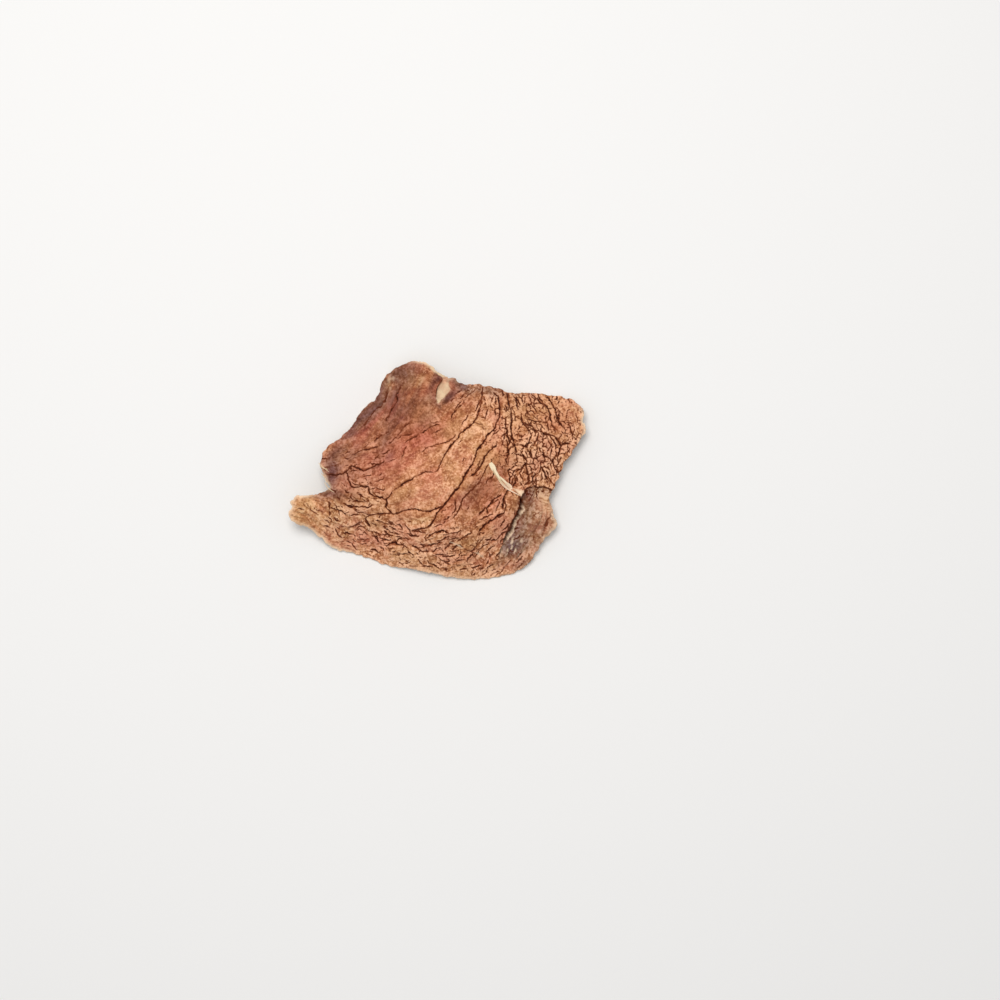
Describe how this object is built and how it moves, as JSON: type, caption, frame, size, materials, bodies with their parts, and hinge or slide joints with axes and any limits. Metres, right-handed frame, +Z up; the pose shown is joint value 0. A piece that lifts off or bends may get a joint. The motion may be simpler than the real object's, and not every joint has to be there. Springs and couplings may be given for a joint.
{
  "type": "dried mushroom",
  "caption": "Dried wild mushroom lying cap up: thin wrinkled cap with a wavy, torn margin and a bare wedge in its skin, gills below it and a short bent stem.",
  "frame": {"origin": "On the surface that the mushroom rests on, under the middle of its box.", "axes": "+Z up, away from the surface it rests on; +X along the cap's longest side, towards the tip opposite the small left lobe; +Y towards the bare wedge at the margin."},
  "size_m": [0.0721, 0.0535, 0.017],
  "materials": {
    "cap_skin": "matte",
    "gill": "matte",
    "stalk": "matte",
    "fibre": "matte"
  },
  "bodies": {
    "root": {"cap": "cap_skin", "gills": "gill", "stem": "stalk", "strand": "fibre"}
  },
  "joints": []
}
